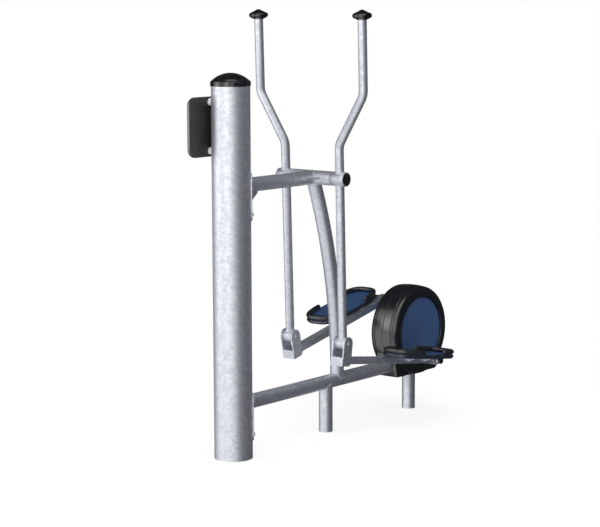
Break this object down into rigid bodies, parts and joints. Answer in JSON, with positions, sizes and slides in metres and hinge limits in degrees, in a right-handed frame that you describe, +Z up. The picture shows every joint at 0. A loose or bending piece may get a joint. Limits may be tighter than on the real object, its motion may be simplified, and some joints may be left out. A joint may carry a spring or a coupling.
{
  "type": "outdoor air walker",
  "caption": "Outdoor air walker: a round post and braced beams carry swing arms with high handles, footplates on tilting pedal bars and a cased crank drum.",
  "frame": {"origin": "on the ground, at the middle of the bounding box seen from above", "axes": "+X from the post to the crank drum, +Y to the right of a walker who faces the post, +Z up"},
  "size_m": [1.588, 0.6386, 1.8309],
  "materials": {
    "galvanised_steel": "hot-dip galvanised, faint spangle",
    "black_gloss": "gloss",
    "black_satin": "satin",
    "black_rubber": "matt",
    "blue_paint": "semi-gloss powder coat",
    "stainless_steel": "polished",
    "white_plastic": "satin"
  },
  "bodies": {
    "frame": {"axle_gusset_left": "galvanised_steel", "axle_gusset_right": "galvanised_steel", "axle_shaft": "stainless_steel", "axle_tube": "galvanised_steel", "beam_gusset": "galvanised_steel", "bearing_bracket_left": "galvanised_steel", "bearing_bracket_right": "galvanised_steel", "casing_left": "black_satin", "casing_right": "black_satin", "front_leg": "galvanised_steel", "lower_beam": "galvanised_steel", "lower_saddle": "galvanised_steel", "lower_saddle_bolt_high_left": "stainless_steel", "lower_saddle_bolt_high_right": "stainless_steel", "lower_saddle_bolt_low_left": "stainless_steel", "lower_saddle_bolt_low_right": "stainless_steel", "post": "galvanised_steel", "post_cap": "black_gloss", "rear_leg": "galvanised_steel", "sign_panel": "black_satin", "sign_spacer_high_front": "white_plastic", "sign_spacer_high_rear": "white_plastic", "sign_spacer_low_front": "white_plastic", "sign_spacer_low_rear": "white_plastic", "strut": "galvanised_steel", "upper_beam": "galvanised_steel", "upper_saddle": "galvanised_steel", "upper_saddle_bolt_high_left": "stainless_steel", "upper_saddle_bolt_high_right": "stainless_steel", "upper_saddle_bolt_low_left": "stainless_steel", "upper_saddle_bolt_low_right": "stainless_steel"},
    "crank": {"crank_disc_left": "blue_paint", "crank_disc_right": "blue_paint", "crank_shaft": "stainless_steel", "inertia_wheel": "galvanised_steel"},
    "left_swing_arm": {"left_arm": "galvanised_steel", "left_handle_cap": "black_gloss", "left_sleeve_plug": "black_satin"},
    "right_swing_arm": {"right_arm": "galvanised_steel", "right_handle_cap": "black_gloss", "right_sleeve_plug": "black_satin"},
    "left_pedal": {"left_crank_pin": "stainless_steel", "left_foot_ring": "black_rubber", "left_footplate": "blue_paint", "left_heel_rail": "black_rubber", "left_pedal_bar": "galvanised_steel", "left_pin_cap": "black_satin", "left_pivot_bolt": "stainless_steel", "left_toe_rail": "black_rubber"},
    "right_pedal": {"right_crank_pin": "stainless_steel", "right_foot_ring": "black_rubber", "right_footplate": "blue_paint", "right_heel_rail": "black_rubber", "right_pedal_bar": "galvanised_steel", "right_pin_cap": "black_satin", "right_pivot_bolt": "stainless_steel", "right_toe_rail": "black_rubber"}
  },
  "joints": [
    {"name": "right_arm_swing", "type": "hinge", "parent": "frame", "child": "right_swing_arm", "pos_m": [-0.114, 0, 1.122], "axis": [0, -1, 0], "range_deg": [0, 9.22]},
    {"name": "left_arm_swing", "type": "hinge", "parent": "frame", "child": "left_swing_arm", "pos_m": [-0.114, 0, 1.122], "axis": [0, -1, 0], "range_deg": [-11, 0]},
    {"name": "right_bar_tilt", "type": "hinge", "parent": "right_swing_arm", "child": "right_pedal", "pos_m": [-0.09112, 0, 0.41707], "axis": [0, -1, 0], "range_deg": [-20.7, 0]},
    {"name": "left_bar_tilt", "type": "hinge", "parent": "left_swing_arm", "child": "left_pedal", "pos_m": [-0.09435, 0, 0.41697], "axis": [0, -1, 0], "range_deg": [0, 20.7]},
    {"name": "crank_turn", "type": "hinge", "parent": "frame", "child": "crank", "pos_m": [0.588, 0, 0.3675], "axis": [0, 1, 0], "continuous": true}
  ],
  "couplings": [
    {"joint": "left_arm_swing", "follows": "right_arm_swing", "ratio": -1.1801},
    {"joint": "right_bar_tilt", "follows": "right_arm_swing", "ratio": -2.2275},
    {"joint": "left_bar_tilt", "follows": "right_arm_swing", "ratio": 2.2268},
    {"joint": "crank_turn", "follows": "right_arm_swing", "ratio": 9.229}
  ]
}
